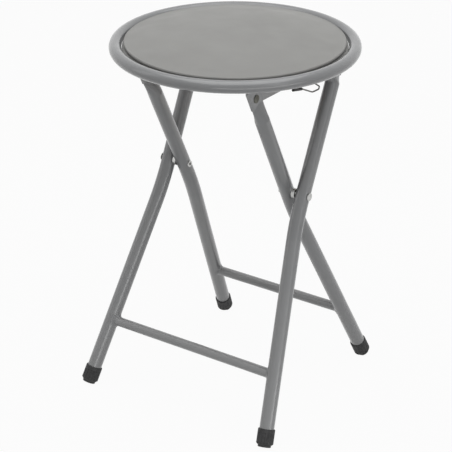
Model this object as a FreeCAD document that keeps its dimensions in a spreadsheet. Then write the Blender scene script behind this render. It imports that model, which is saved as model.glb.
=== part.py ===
import FreeCAD, Part
import math
import os

import Sketcher
from FreeCAD import Placement, Rotation, Vector

# A round folding stool, in millimetres: x to the right along the pivot axis, y to the back, z up.
# The origin is on the floor under the middle of the seat ring. Angles are in degrees.
DIMENSIONS = {
    # Seat ring
    "ring_diameter": 300.0,
    "ring_tube": 15.0,
    "ring_height": 445.8,
    "drain_hole": 4.0,
    # Leg tubes, flattened at the top into tabs, which reach above and below the top holes
    "leg_tube": 18.0,
    "tube_wall": 1.2,
    "leg_bend_radius": 420.0,
    "tab_thickness": 3.0,
    "tab_corner": 4.0,
    "tab_overlap": 1.2,
    "outer_tab_width": 27.0,
    "outer_tab_above": 9.0,
    "outer_tab_below": 5.5,
    "outer_flattening": 12.0,
    "inner_tab_width": 22.6,
    "inner_tab_above": 19.0,
    "inner_tab_below": 9.0,
    "inner_flattening": 26.0,
    "inner_tab_shift": 1.0,
    # The crossing of the two leg frames, and their top holes below the ring's middle
    "pivot_height": 275.9,
    "pivot_offset": 0.97,
    "carry_drop": 28.5,
    # Outer frame: feet in front, tops behind; its legs bend outward a little below the pivot
    "outer_lean": 25.62,
    "outer_splay": 7.36,
    "outer_bend_drop": 30.7,
    "outer_stretcher_height": 80.1,
    # Inner frame: feet behind, tops in front
    "inner_lean": 26.92,
    "inner_splay": 7.05,
    "inner_top_half": 77.3,
    "inner_bend_drop": 36.4,
    "inner_stretcher_height": 79.0,
    "frame_gap": 4.6,
    # Stretchers and the rod between the outer tops
    "stretcher_tube": 12.0,
    "stretcher_wall": 1.0,
    "rod_diameter": 8.0,
    "rod_spigot": 6.0,
    "rod_head": 10.0,
    "rod_head_height": 2.0,
    # Rubber foot caps
    "foot_wall": 1.4,
    "foot_length": 22.0,
    "foot_sole": 5.0,
    "foot_chamfer": 1.6,
    "sole_step": 2.4,
    "sole_step_height": 2.6,
    "sole_lift": 3.0,
    "flute_radius": 1.3,
    "flute_depth": 0.6,
    "flute_inset": 1.8,
    "flute_top": 4.7,
    "flute_count": 16,
    # Rails under the ring; their corners and knees are measured from the hinge holes
    "rail_sheet": 2.0,
    "rail_spacing": 1.7,
    "rail_below_hole": 9.0,
    "rail_corner": 1.3,
    "rail_knee": 12.7,
    "rail_knee_rise": 12.2,
    "rail_end_inset": 2.2,
    "rail_end_rise": 1.5,
    "flange_width": 14.0,
    "flange_half": 50.0,
    "notch_lean": 30.3,
    "notch_clearance": 0.4,
    # Board, foam and cover; heights are measured from the ring's middle
    "board_inset": 6.0,
    "board_thickness": 8.0,
    "board_drop": 3.2,
    "cover_thickness": 1.0,
    "cover_gap": 0.6,
    "cover_draw_in": 2.2,
    "cover_edge_rise": 6.5,
    "cover_shoulder": 4.0,
    "cover_turn": 1.4,
    "dome_slope": 6.0,
    "hem_clearance": 12.8,
    "staple_count": 20,
    "staple_width": 10.0,
    "staple_wire": 0.7,
    "staple_depth": 6.0,
    "screw_spacing": 60.0,
    "screw_shank": 3.6,
    "screw_head": 7.5,
    "screw_head_height": 2.0,
    "screw_length": 8.0,
    # Rivets and spacers
    "rivet_shank": 6.0,
    "rivet_head": 10.0,
    "rivet_head_height": 1.6,
    "rivet_rim": 0.6,
    "rivet_tail": 8.0,
    "rivet_tail_height": 1.0,
    "rivet_dimple": 3.6,
    "rivet_dimple_depth": 3.0,
    "spacer_wall": 3.0,
    # Latch wire beside the right rail; lengths are measured forward from its pivot
    "latch_wire": 1.8,
    "latch_offset": 17.4,
    "latch_pivot_before_rod": 18.2,
    "latch_run_rise": 11.0,
    "latch_tip_gap": 1.8,
    "latch_tip_drop": 3.0,
    "latch_tip_bend": 2.6,
    "latch_front": 49.0,
    "latch_front_bend": 8.0,
    "loop_neck": 24.6,
    "loop_neck_bend": 14.0,
    "loop_end": 1.6,
    "loop_end_bend": 2.2,
    "loop_heel": 22.2,
    "loop_heel_bend": 12.0,
    "grip_start": 45.6,
    "grip_bend": 6.0,
    "grip_end": 64.1,
    # Depths of the latch's bends below the middle of the rod
    "front_depth": 4.7,
    "neck_depth": 5.5,
    "loop_depth": 20.3,
    "heel_depth": 19.5,
    "grip_start_depth": 8.3,
    "grip_end_depth": 4.1,
    "latch_rivet_shank": 4.0,
    "latch_rivet_collar": 6.6,
    "latch_rivet_head": 7.0,
    "latch_rivet_head_height": 1.4,
    "sleeve_wall": 0.8,
    "sleeve_length": 19.0,
    # Clearances
    "running_fit": 0.05,
    "seat_fit": 0.02,
    "side_play": 0.2,
    "weld_gap": 0.1,
}

doc = FreeCAD.newDocument("folding_stool")
sheet = doc.addObject("Spreadsheet::Sheet", "sheet")
for row, (name, value) in enumerate(DIMENSIONS.items(), start=1):
    sheet.set("A%d" % row, name)
    sheet.set("B%d" % row, repr(value))
    sheet.setAlias("B%d" % row, name)
doc.recompute()

# Places worked out from the sheet, as expressions
RING_RADIUS = "((sheet.ring_diameter - sheet.ring_tube) / 2)"
LEG_RADIUS = "(sheet.leg_tube / 2)"
CARRY_HEIGHT = "(sheet.ring_height - sheet.carry_drop)"
CARRY_RISE = "(%s - sheet.pivot_height)" % CARRY_HEIGHT
ROD_Y = "(%s * tan(sheet.outer_lean) - sheet.pivot_offset)" % CARRY_RISE
HINGE_FRONT = "(%s * tan(sheet.inner_lean) + sheet.pivot_offset)" % CARRY_RISE
OUTER_TOP_HALF = "(sheet.inner_top_half + sheet.leg_tube + sheet.frame_gap)"
RAIL_OUTER = "(sheet.inner_top_half - sheet.rail_spacing)"
RAIL_INNER = "(%s - sheet.rail_sheet)" % RAIL_OUTER
RAIL_LOW = "(%s - sheet.rail_below_hole)" % CARRY_HEIGHT
BOARD_BOTTOM = "(sheet.ring_height - sheet.board_drop)"
BOARD_RADIUS = "(%s - sheet.ring_tube / 2 - sheet.board_inset)" % RING_RADIUS
COVER_BOTTOM = "(%s - sheet.cover_thickness)" % BOARD_BOTTOM
COVER_FOOT = "(%s - sheet.ring_tube / 2 - sheet.cover_gap)" % RING_RADIUS
COVER_EDGE = "(%s - sheet.cover_draw_in)" % COVER_FOOT
HEM_INNER = "(sqrt(%s^2 + sheet.flange_half^2) + sheet.hem_clearance)" % RAIL_OUTER
LATCH_X = "(%s + sheet.latch_offset)" % RAIL_OUTER
LATCH_PIVOT_Y = "(%s - sheet.latch_pivot_before_rod)" % ROD_Y
LATCH_RUN = "(%s + sheet.latch_run_rise)" % CARRY_HEIGHT
LATCH_EYE = "(sheet.latch_rivet_shank / 2 + sheet.weld_gap + sheet.latch_wire / 2)"
LATCH_PIVOT_Z = "(%s - %s)" % (LATCH_RUN, LATCH_EYE)

nodes = []


def size(expression):
    """The number that an expression of the sheet stands for."""
    value = sheet.evalExpression(expression)
    return float(getattr(value, "Value", value))


def keep(feature, label):
    """Marks a feature as a finished piece under its own name."""
    feature.Label = label
    nodes.append(feature)
    return feature


def primitive(kind, name, placement, **sizes):
    feature = doc.addObject(kind, name)
    for prop, expression in sizes.items():
        feature.setExpression(prop, expression)
    feature.Placement = placement
    return feature


def cylinder(name, placement, radius, height):
    return primitive("Part::Cylinder", name, placement, Radius=radius, Height=height)


def box(name, placement, length, width, height):
    return primitive("Part::Box", name, placement, Length=length, Width=width, Height=height)


def fuse(name, *shapes):
    feature = doc.addObject("Part::MultiFuse", name)
    feature.Shapes = list(shapes)
    return feature


def cut(name, base, *tools):
    feature = doc.addObject("Part::Cut", name)
    feature.Base = base
    feature.Tool = tools[0] if len(tools) == 1 else fuse(name + "_tools", *tools)
    return feature


def mirrored(source, label):
    """The left-hand copy of a right-hand piece."""
    feature = doc.addObject("Part::Mirroring", label)
    feature.Source = source
    feature.Normal = Vector(1, 0, 0)
    return keep(feature, label)


def at(x, y, z, rotation=Rotation()):
    return Placement(Vector(x, y, z), rotation)


ALONG_X = Rotation(Vector(0, 1, 0), 90)


def along_x(x, y, z):
    """A placement whose own z axis points along the stool's x axis."""
    return at(x, y, z, ALONG_X)


def new_body(name):
    return doc.addObject("PartDesign::Body", name)


def origin_feature(body, role):
    return next(f for f in body.Origin.OriginFeatures if f.Role == role)


def new_sketch(body, name, plane, offset="0"):
    """A sketch on one of the body's own planes, moved along the plane's normal."""
    sketch = body.newObject("Sketcher::SketchObject", name)
    sketch.AttachmentSupport = [(origin_feature(body, plane), "")]
    sketch.MapMode = "FlatFace"
    if offset != "0":
        sketch.setExpression(".AttachmentOffset.Base.z", offset)
    return sketch


def bind(sketch, constraint, name, expression):
    index = sketch.addConstraint(constraint)
    sketch.renameConstraint(index, name)
    sketch.setExpression("Constraints." + name, expression)


def pin_point(sketch, geometry, vertex, name, x, y):
    """Holds a sketch point at a place given by two expressions."""
    for axis, kind, expression in (("x", "DistanceX", x), ("y", "DistanceY", y)):
        value = size(expression)
        if abs(value) < 1e-9:
            on_axis = -2 if axis == "x" else -1
            sketch.addConstraint(Sketcher.Constraint("PointOnObject", geometry, vertex, on_axis))
        elif value > 0:
            distance = Sketcher.Constraint(kind, -1, 1, geometry, vertex, value)
            bind(sketch, distance, name + axis, expression)
        else:
            distance = Sketcher.Constraint(kind, geometry, vertex, -1, 1, -value)
            bind(sketch, distance, name + axis, "-(" + expression + ")")


def outline(sketch, vertices, arcs=None):
    """A closed outline; arcs gives the centre, the radius and the turn of the sides that are round."""
    arcs = arcs or {}
    points = [Vector(size(x), size(y), 0) for x, y in vertices]
    ends = {}
    for i, start in enumerate(points):
        end = points[(i + 1) % len(points)]
        if i in arcs:
            centre_x, centre_y, radius, clockwise = arcs[i]
            centre = Vector(size(centre_x), size(centre_y), 0)
            circle = Part.Circle(centre, Vector(0, 0, 1), size(radius))
            first, last = (end, start) if clockwise else (start, end)
            geometry = Part.ArcOfCircle(circle, circle.parameter(first), circle.parameter(last))
            ends[i] = (2, 1) if clockwise else (1, 2)
        else:
            geometry = Part.LineSegment(start, end)
            ends[i] = (1, 2)
        sketch.addGeometry(geometry)
    for i in range(len(points)):
        following = (i + 1) % len(points)
        sketch.addConstraint(
            Sketcher.Constraint("Coincident", i, ends[i][1], following, ends[following][0]))
    for i, (x, y) in enumerate(vertices):
        pin_point(sketch, i, ends[i][0], "p%d" % i, x, y)
    for i, (_, _, radius, _) in arcs.items():
        bind(sketch, Sketcher.Constraint("Radius", i, size(radius)), "r%d" % i, radius)


def rounded_path(sketch, corners, radii):
    """An open path of straight runs, each inner corner rounded by a tangent arc."""
    points = [Vector(size(x), size(y), 0) for x, y in corners]
    starts = [points[0]]
    stops = []
    arcs = []
    for i in range(1, len(points) - 1):
        radius = size(radii[i - 1])
        back = (points[i - 1] - points[i]).normalize()
        ahead = (points[i + 1] - points[i]).normalize()
        half = back.getAngle(ahead) / 2
        reach = radius / math.tan(half)
        middle = points[i] + (back + ahead).normalize() * (radius / math.sin(half))
        first = points[i] + back * reach
        last = points[i] + ahead * reach
        near = middle + (points[i] - middle).normalize() * radius
        stops.append(first)
        starts.append(last)
        arcs.append(Part.Arc(first, near, last))
    stops.append(points[-1])
    for i, (start, stop) in enumerate(zip(starts, stops)):
        sketch.addGeometry(Part.LineSegment(start, stop))
        if i < len(arcs):
            sketch.addGeometry(arcs[i])
    for i, (x, y) in enumerate(corners[1:-1]):
        line, arc, following = 2 * i, 2 * i + 1, 2 * i + 2
        starts_here = sketch.getPoint(arc, 1).distanceToPoint(stops[i]) < 1e-6
        first, last = (1, 2) if starts_here else (2, 1)
        sketch.addConstraint(Sketcher.Constraint("Tangent", line, 2, arc, first))
        sketch.addConstraint(Sketcher.Constraint("Tangent", arc, last, following, 1))
        bind(sketch, Sketcher.Constraint("Radius", arc, size(radii[i])), "r%d" % i, radii[i])
        corner = sketch.addGeometry(Part.Point(points[i + 1]), True)
        sketch.addConstraint(Sketcher.Constraint("PointOnObject", corner, 1, line))
        sketch.addConstraint(Sketcher.Constraint("PointOnObject", corner, 1, following))
        pin_point(sketch, corner, 1, "c%d" % i, x, y)
    pin_point(sketch, 0, 1, "start", *corners[0])
    pin_point(sketch, 2 * len(arcs), 2, "stop", *corners[-1])
    return len(starts) + len(arcs)


def turned(name, vertices, arcs=None):
    """A body turned about its own z axis from an outline of radius and height."""
    body = new_body(name)
    sketch = new_sketch(body, name + "_outline", "XZ_Plane")
    outline(sketch, vertices, arcs)
    turn = body.newObject("PartDesign::Revolution", name + "_turn")
    turn.Profile = (sketch, [""])
    turn.ReferenceAxis = (sketch, ["V_Axis"])
    turn.Angle = 360
    return body


def bent_tube(name, corners, radii, plane, start_sketch, offset="0"):
    """A body swept along a rounded path; start_sketch draws the section where the path begins."""
    body = new_body(name)
    path = new_sketch(body, name + "_path", plane, offset)
    count = rounded_path(path, corners, radii)
    section = start_sketch(body)
    pipe = body.newObject("PartDesign::AdditivePipe", name + "_sweep")
    pipe.Profile = (section, [""])
    pipe.Spine = (path, ["Edge%d" % (i + 1) for i in range(count)])
    return body


def circles(sketch, x, y, *radii):
    """Circles about one middle, which is held at x, y."""
    middle = Vector(size(x), size(y), 0)
    for i, radius in enumerate(radii):
        sketch.addGeometry(Part.Circle(middle, Vector(0, 0, 1), size(radius)))
        bind(sketch, Sketcher.Constraint("Radius", i, size(radius)), "r%d" % i, radius)
        if i:
            sketch.addConstraint(Sketcher.Constraint("Coincident", i, 3, 0, 3))
    pin_point(sketch, 0, 3, "middle", x, y)


# The two leg frames: each is flat, and leans about the pivot axis
class Frame:
    def __init__(self, kind, leans_back, top_half, tab_middle):
        self.kind = kind
        lean = "sheet.%s_lean" % kind
        splay = "sheet.%s_splay" % kind
        self.splay = size(splay)
        turn = -size(lean) if leans_back else size(lean)
        middle = Vector(0, -size("sheet.pivot_offset"), size("sheet.pivot_height"))
        self.placement = Placement(middle, Rotation(Vector(1, 0, 0), turn))
        self.top_half = top_half
        self.tab_middle = tab_middle
        self.tab_width = "sheet.%s_tab_width" % kind
        self.tab_above = "sheet.%s_tab_above" % kind
        self.tab_below = "sheet.%s_tab_below" % kind
        self.flattening = "sheet.%s_flattening" % kind
        self.floor = "(-sheet.pivot_height / cos(%s))" % lean
        self.hole = "(%s / cos(%s))" % (CARRY_RISE, lean)
        self.tube_top = "(%s - %s - %s)" % (self.hole, self.tab_below, self.flattening)
        self.stretcher = "((sheet.%s_stretcher_height - sheet.pivot_height) / cos(%s))" % (kind, lean)
        self.slope = "tan(%s)" % splay
        # Place of the bend along the frame, where the splayed run meets the upright one
        self.bend = "(-sheet.%s_bend_drop)" % kind
        self.foot_half = self.half_at(self.floor)
        self.tube_end = "(%s + sheet.foot_sole + sheet.sole_lift)" % self.floor

    def half_at(self, along):
        """Half the distance between the legs' middles at a place below the bend."""
        return "(%s + (%s - (%s)) * %s)" % (self.top_half, self.bend, along, self.slope)

    def place(self, x, along, rotation=Rotation()):
        """A placement in the frame's plane, x to the right and along the legs."""
        return self.placement.multiply(Placement(Vector(x, 0, along), rotation))


outer = Frame("outer", True, OUTER_TOP_HALF, OUTER_TOP_HALF)
inner = Frame("inner", False, "sheet.inner_top_half", "(sheet.inner_top_half + sheet.inner_tab_shift)")


def squeezed(frame):
    """The stretch over which a leg's tube goes from round to flat, hollow where it is still open."""
    name = frame.kind + "_squeeze"
    start = frame.place(size(frame.top_half), size(frame.tube_top))
    end = frame.place(
        size(frame.tab_middle), size(frame.tube_top + " + " + frame.flattening), Rotation(Vector(0, 0, 1), 90))
    round_edge = primitive("Part::Circle", name + "_round_edge", start, Radius=LEG_RADIUS)
    flat_edge = primitive(
        "Part::Ellipse", name + "_flat_edge", end,
        MajorRadius=frame.tab_width + " / 2", MinorRadius="sheet.tab_thickness / 2")
    loft = doc.addObject("Part::Loft", name + "_skin")
    loft.Sections = [round_edge, flat_edge]
    loft.Solid = True
    hollow = primitive(
        "Part::Cone", name + "_hollow", start, Radius1=LEG_RADIUS + " - sheet.tube_wall",
        Radius2="sheet.tab_thickness / 2", Height=frame.flattening + " - sheet.tab_thickness * 2")
    return cut(name, loft, hollow)


def tab_plates(frame):
    """The flat end of a leg: a plate, a narrower one at its top, and two round corners between them."""
    name = frame.kind + "_tab_"
    x = size(frame.tab_middle + " - sheet.tab_thickness / 2")
    low = size("%s - %s - sheet.tab_overlap" % (frame.hole, frame.tab_below))
    shoulder = size("%s + %s - sheet.tab_corner" % (frame.hole, frame.tab_above))
    half = size(frame.tab_width + " / 2")
    inset = size(frame.tab_width + " / 2 - sheet.tab_corner")

    def spot(y, along, rotation=Rotation()):
        return frame.placement.multiply(at(x, y, along, rotation))

    plates = [
        box(name + "plate", spot(-half, low), "sheet.tab_thickness", frame.tab_width,
            "%s + sheet.tab_overlap + %s - sheet.tab_corner" % (frame.tab_below, frame.tab_above)),
        box(name + "top", spot(-inset, shoulder), "sheet.tab_thickness",
            frame.tab_width + " - 2 * sheet.tab_corner", "sheet.tab_corner"),
    ]
    for end, y in (("front", -inset), ("back", inset)):
        plates.append(cylinder(
            name + "corner_" + end, spot(y, shoulder, ALONG_X), "sheet.tab_corner", "sheet.tab_thickness"))
    return plates


def leg(frame, tab_hole_radius, pivot_hole_radius):
    """The right leg: a bent tube, its top squeezed flat and drilled."""
    kind = frame.kind

    def section(body):
        sketch = new_sketch(body, kind + "_leg_section", "XY_Plane", frame.tube_top)
        circles(sketch, frame.top_half, "0", LEG_RADIUS, LEG_RADIUS + " - sheet.tube_wall")
        return sketch

    corners = [
        (frame.top_half, frame.tube_top),
        (frame.top_half, frame.bend),
        (frame.half_at(frame.tube_end), frame.tube_end),
    ]
    tube = bent_tube(kind + "_leg_tube", corners, ["sheet.leg_bend_radius"], "XZ_Plane", section)
    tube.Placement = frame.placement
    blank = fuse(kind + "_leg_blank", tube, squeezed(frame), *tab_plates(frame))
    x = size(frame.top_half)
    tab_hole = cylinder(
        kind + "_tab_hole", frame.place(x - size("sheet.leg_tube"), size(frame.hole), ALONG_X),
        tab_hole_radius, "sheet.leg_tube * 2")
    pivot_hole = cylinder(
        kind + "_pivot_hole", frame.place(x - size("sheet.leg_tube"), 0, ALONG_X),
        pivot_hole_radius, "sheet.leg_tube * 2")
    right = keep(cut(kind + "_leg_right", blank, tab_hole, pivot_hole), kind + "_leg_right")
    mirrored(right, kind + "_leg_left")


TURNING_HOLE = "sheet.rivet_shank / 2 + sheet.running_fit"
FIXED_HOLE = "sheet.rivet_shank / 2 + sheet.seat_fit"
leg(outer, "sheet.rod_spigot / 2 + sheet.seat_fit", TURNING_HOLE)
leg(inner, TURNING_HOLE, FIXED_HOLE)


def stretcher(frame):
    """The cross tube between a pair of legs, its ends cut to sit on the leg tubes."""
    kind = frame.kind
    along = size(frame.stretcher)
    half = size(frame.half_at(frame.stretcher))
    tube = cylinder(
        kind + "_cross_tube", frame.place(-half, along, ALONG_X),
        "sheet.stretcher_tube / 2", "2 * " + frame.half_at(frame.stretcher))
    bore = cylinder(
        kind + "_cross_bore", frame.place(-half, along, ALONG_X),
        "sheet.stretcher_tube / 2 - sheet.stretcher_wall", "2 * " + frame.half_at(frame.stretcher))
    saddles = []
    reach = size("sheet.leg_tube * 2")
    for side, sign in (("right", 1), ("left", -1)):
        tilt = Rotation(Vector(0, 1, 0), -sign * frame.splay)
        middle = frame.place(sign * half, along, tilt)
        saddles.append(cylinder(
            kind + "_saddle_" + side, middle.multiply(at(0, 0, -reach)),
            LEG_RADIUS + " + sheet.weld_gap", "sheet.leg_tube * 4"))
    keep(cut(kind + "_stretcher", tube, bore, *saddles), kind + "_stretcher")


stretcher(outer)
stretcher(inner)


def foot_cap(frame):
    """The rubber cap on a leg's end, with flutes round it and a flat worn by the floor."""
    kind = frame.kind
    name = kind + "_foot_cap"
    bore = LEG_RADIUS + " + sheet.seat_fit"
    radius = bore + " + sheet.foot_wall"
    disc = radius + " - sheet.sole_step"
    step = "sheet.sole_step_height + sheet.sole_lift"
    top = "sheet.foot_length + sheet.sole_lift"
    chamfer = "sheet.foot_chamfer"
    cap = turned(name, [
        ("0", "sheet.sole_lift"),
        (disc, "sheet.sole_lift"),
        (disc, step),
        (radius + " - " + chamfer, step),
        (radius, step + " + " + chamfer),
        (radius, top + " - " + chamfer + " / 2"),
        (radius + " - " + chamfer + " / 3", top),
        (bore, top),
        (bore, "sheet.sole_lift + sheet.foot_sole"),
        ("0", "sheet.sole_lift + sheet.foot_sole"),
    ])
    flute_from = step + " + sheet.flute_inset"
    flute = new_sketch(cap, name + "_flute", "XY_Plane", flute_from)
    circles(flute, radius + " + sheet.flute_radius - sheet.flute_depth", "0", "sheet.flute_radius")
    groove = cap.newObject("PartDesign::Pocket", name + "_groove")
    groove.Profile = (flute, [""])
    groove.setExpression("Length", "sheet.foot_length - sheet.flute_top - sheet.sole_step_height - sheet.flute_inset")
    groove.Reversed = True
    around = cap.newObject("PartDesign::PolarPattern", name + "_flutes")
    around.Originals = [groove]
    around.Axis = (origin_feature(cap, "Z_Axis"), [""])
    around.Angle = 360
    around.setExpression("Occurrences", "sheet.flute_count")
    cap.Tip = around
    tilt = Rotation(Vector(0, 1, 0), -frame.splay)
    cap.Placement = frame.place(size(frame.foot_half), size(frame.floor), tilt)
    side = size("sheet.foot_length") * 3
    under = box(
        kind + "_floor", at(cap.Placement.Base.x - side / 2, cap.Placement.Base.y - side / 2, -side),
        "sheet.foot_length * 3", "sheet.foot_length * 3", "sheet.foot_length * 3")
    right = keep(cut(kind + "_foot_right", cap, under), kind + "_foot_right")
    mirrored(right, kind + "_foot_left")


foot_cap(outer)
foot_cap(inner)


def rivet(name, grip, tail, dimpled=True):
    """A rivet turned about z: domed head above z = 0, shank and closed end below."""
    head = "sheet.rivet_head / 2"
    shank = "sheet.rivet_shank / 2"
    rise = "(sheet.rivet_head_height - sheet.rivet_rim)"
    dome = "(((%s)^2 + %s^2) / (2 * %s))" % (head, rise, rise)
    end = "-(%s) - sheet.rivet_tail_height" % grip
    vertices = [
        ("0", "sheet.rivet_head_height"),
        (head, "sheet.rivet_rim"),
        (head, "0"),
        (shank, "0"),
        (shank, "-(%s)" % grip),
        (tail, "-(%s)" % grip),
        (tail, end),
    ]
    if dimpled:
        vertices += [
            ("sheet.rivet_dimple / 2", end),
            ("sheet.rivet_dimple / 2", end + " + sheet.rivet_dimple_depth"),
            ("0", end + " + sheet.rivet_dimple_depth"),
        ]
    else:
        vertices.append(("0", end))
    arcs = {0: ("0", "sheet.rivet_head_height - " + dome, dome, True)}
    return turned(name, vertices, arcs)


def spacer(name, place, length):
    """A washer or short tube on a rivet, and its left-hand copy."""
    blank = cylinder(name + "_blank", place, FIXED_HOLE + " + sheet.spacer_wall", length)
    hole = cylinder(name + "_hole", place, FIXED_HOLE, length)
    mirrored(keep(cut(name + "_right", blank, hole), name + "_right"), name + "_left")


def pivots():
    """Rivets through both leg tubes at the crossing, with a spacer between the tubes."""
    y = -size("sheet.pivot_offset")
    z = size("sheet.pivot_height")
    outside = "(%s + %s + sheet.side_play)" % (OUTER_TOP_HALF, LEG_RADIUS)
    inside = "(sheet.inner_top_half - %s)" % LEG_RADIUS
    pin = rivet("pivot_rivet_body", outside + " - " + inside, "sheet.rivet_tail / 2")
    pin.Placement = along_x(size(outside), y, z)
    mirrored(keep(pin, "pivot_rivet_right"), "pivot_rivet_left")
    from_x = "(sheet.inner_top_half + %s)" % LEG_RADIUS
    to_x = "(%s - %s - sheet.side_play)" % (OUTER_TOP_HALF, LEG_RADIUS)
    spacer("pivot_spacer", along_x(size(from_x), y, z), to_x + " - " + from_x)


pivots()


def catch_rod():
    """The rod between the outer frame's tops, which the rails' notches sit on."""
    inside = "(%s - sheet.tab_thickness / 2 - sheet.seat_fit)" % OUTER_TOP_HALF
    outside = "(%s + sheet.tab_thickness / 2 + sheet.seat_fit)" % OUTER_TOP_HALF
    tip = outside + " + sheet.rod_head_height"
    rod = "sheet.rod_diameter / 2"
    spigot = "sheet.rod_spigot / 2"
    head = "sheet.rod_head / 2"
    dome = "sheet.rod_head_height / 2"
    half = [
        (rod, inside), (spigot, inside), (spigot, outside), (head, outside),
        (head, outside + " + " + dome), (head + " - " + dome, tip), ("0", tip),
    ]
    other = [(r, "-(%s)" % z) for r, z in reversed(half)]
    body = turned("catch_rod_body", half + other)
    body.Placement = along_x(0, size(ROD_Y), size(CARRY_HEIGHT))
    keep(body, "catch_rod")


catch_rod()


def seat_ring():
    middle = at(0, 0, size("sheet.ring_height"))
    outside = primitive(
        "Part::Torus", "ring_outside", middle, Radius1=RING_RADIUS, Radius2="sheet.ring_tube / 2")
    inside = primitive(
        "Part::Torus", "ring_inside", middle, Radius1=RING_RADIUS,
        Radius2="sheet.ring_tube / 2 - sheet.tube_wall")
    drain = cylinder(
        "ring_drain", at(0, size(RING_RADIUS), size("sheet.ring_height - sheet.ring_tube")),
        "sheet.drain_hole / 2", "sheet.ring_tube")
    keep(cut("seat_ring", outside, inside, drain), "seat_ring")


seat_ring()


def screw_places():
    """The four places where a flange is screwed to the board."""
    x = size(RAIL_INNER + " - (sheet.flange_width - sheet.rail_sheet) / 2")
    y = size("sheet.screw_spacing / 2")
    return [(sx * x, sy * y) for sx in (1, -1) for sy in (1, -1)]


def rail(side, sign):
    """A pressed angle under the ring: a web that narrows towards its ends, and a flange under the board."""
    name = "rail_" + side
    web = new_body(name + "_web")
    middle = RAIL_INNER + " + sheet.rail_sheet / 2"
    sketch = new_sketch(web, name + "_outline", "YZ_Plane", "%d * (%s)" % (sign, middle))
    web_top = COVER_BOTTOM + " - sheet.staple_wire - sheet.side_play"
    half = "(sqrt(%s^2 - (%s)^2) - sheet.rail_end_inset)" % (RING_RADIUS, middle)
    end_low = "sheet.ring_height - sheet.ring_tube / 2 + sheet.rail_end_rise"
    knee = "(%s + sheet.rail_knee)" % HINGE_FRONT
    knee_height = CARRY_HEIGHT + " + sheet.rail_knee_rise"
    corner = "(%s + sheet.rail_corner)" % HINGE_FRONT
    rear = [(half, web_top), (half, end_low), (knee, knee_height), (corner, RAIL_LOW)]
    front = [("-" + y, z) for y, z in reversed(rear)]
    outline(sketch, rear + front)
    pad = web.newObject("PartDesign::Pad", name + "_pad")
    pad.Profile = (sketch, [""])
    pad.setExpression("Length", "sheet.rail_sheet")
    pad.SideType = "Symmetric"
    flange_x = RAIL_OUTER + " - sheet.flange_width" if sign > 0 else "-" + RAIL_OUTER
    flange = box(
        name + "_flange",
        at(size(flange_x), -size("sheet.flange_half"), size(BOARD_BOTTOM + " - sheet.rail_sheet")),
        "sheet.flange_width", "sheet.flange_half * 2", "sheet.rail_sheet")
    blank = fuse(name + "_blank", web, flange)
    start = sign * size(middle) - size("sheet.rail_sheet * 2")
    through = "sheet.rail_sheet * 4"
    rod_y = size(ROD_Y)
    carry = size(CARRY_HEIGHT)
    notch_radius = "sheet.rod_diameter / 2 + sheet.notch_clearance"
    notch_turn = Rotation(Vector(1, 0, 0), -size("sheet.notch_lean"))
    mouth = at(start, rod_y, carry, notch_turn).multiply(
        at(0, -size(notch_radius), -size("sheet.ring_tube * 2")))
    tools = [
        cylinder(name + "_notch", along_x(start, rod_y, carry), notch_radius, through),
        box(name + "_mouth", mouth, through, "2 * (" + notch_radius + ")", "sheet.ring_tube * 2"),
        cylinder(name + "_hinge_hole", along_x(start, -size(HINGE_FRONT), carry), FIXED_HOLE, through),
        primitive("Part::Torus", name + "_ring_saddle", at(0, 0, size("sheet.ring_height")),
                  Radius1=RING_RADIUS, Radius2="sheet.ring_tube / 2 + sheet.weld_gap"),
    ]
    for i, (x, y) in enumerate(screw_places()):
        if x * sign > 0:
            tools.append(cylinder(
                name + "_screw_hole_%d" % i, at(x, y, size(BOARD_BOTTOM + " - sheet.rail_sheet * 2")),
                "sheet.screw_shank / 2 + sheet.running_fit", "sheet.rail_sheet * 3"))
    if side == "right":
        tools.append(cylinder(
            name + "_latch_hole", along_x(start, size(LATCH_PIVOT_Y), size(LATCH_PIVOT_Z)),
            "sheet.latch_rivet_shank / 2 + sheet.seat_fit", through))
    keep(cut(name, blank, *tools), name)


rail("right", 1)
rail("left", -1)


def hinges():
    """Rivets that hold the inner frame's tabs to the rails, with a washer between tab and rail."""
    tab_in = "(%s - sheet.tab_thickness / 2 - sheet.side_play)" % inner.tab_middle
    tab_out = "(%s + sheet.tab_thickness / 2 + sheet.side_play)" % inner.tab_middle
    pin = rivet("hinge_rivet_body", tab_out + " - " + RAIL_INNER, "sheet.rivet_tail / 2", dimpled=False)
    pin.Placement = along_x(size(tab_out), -size(HINGE_FRONT), size(CARRY_HEIGHT))
    mirrored(keep(pin, "hinge_rivet_right"), "hinge_rivet_left")
    spacer(
        "hinge_spacer", along_x(size(RAIL_OUTER), -size(HINGE_FRONT), size(CARRY_HEIGHT)),
        tab_in + " - " + RAIL_OUTER)


hinges()


def staples():
    """Staples driven up through the cover's hem into the board."""
    wire = size("sheet.staple_wire")
    wide = size("sheet.staple_width")
    hem = size(COVER_BOTTOM)
    crown = Part.makeBox(2 * wire, wide, wire, Vector(-wire, -wide / 2, hem - wire))
    depth = size("sheet.cover_thickness + sheet.staple_depth")
    prongs = [
        Part.makeBox(2 * wire, wire, depth, Vector(-wire, y, hem))
        for y in (-wide / 2, wide / 2 - wire)
    ]
    staple = crown.fuse(prongs)
    ring = size("(%s + %s) / 2" % (HEM_INNER, BOARD_RADIUS))
    count = int(size("sheet.staple_count"))
    group = []
    for i in range(count):
        turn = Rotation(Vector(0, 0, 1), 360.0 * i / count)
        copy = staple.copy()
        copy.translate(Vector(ring, 0, 0))
        copy.Placement = Placement(Vector(), turn).multiply(copy.Placement)
        group.append(copy)
    feature = doc.addObject("Part::Feature", "cover_staples")
    feature.Shape = Part.makeCompound(group)
    return keep(feature, "cover_staples")


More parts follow.
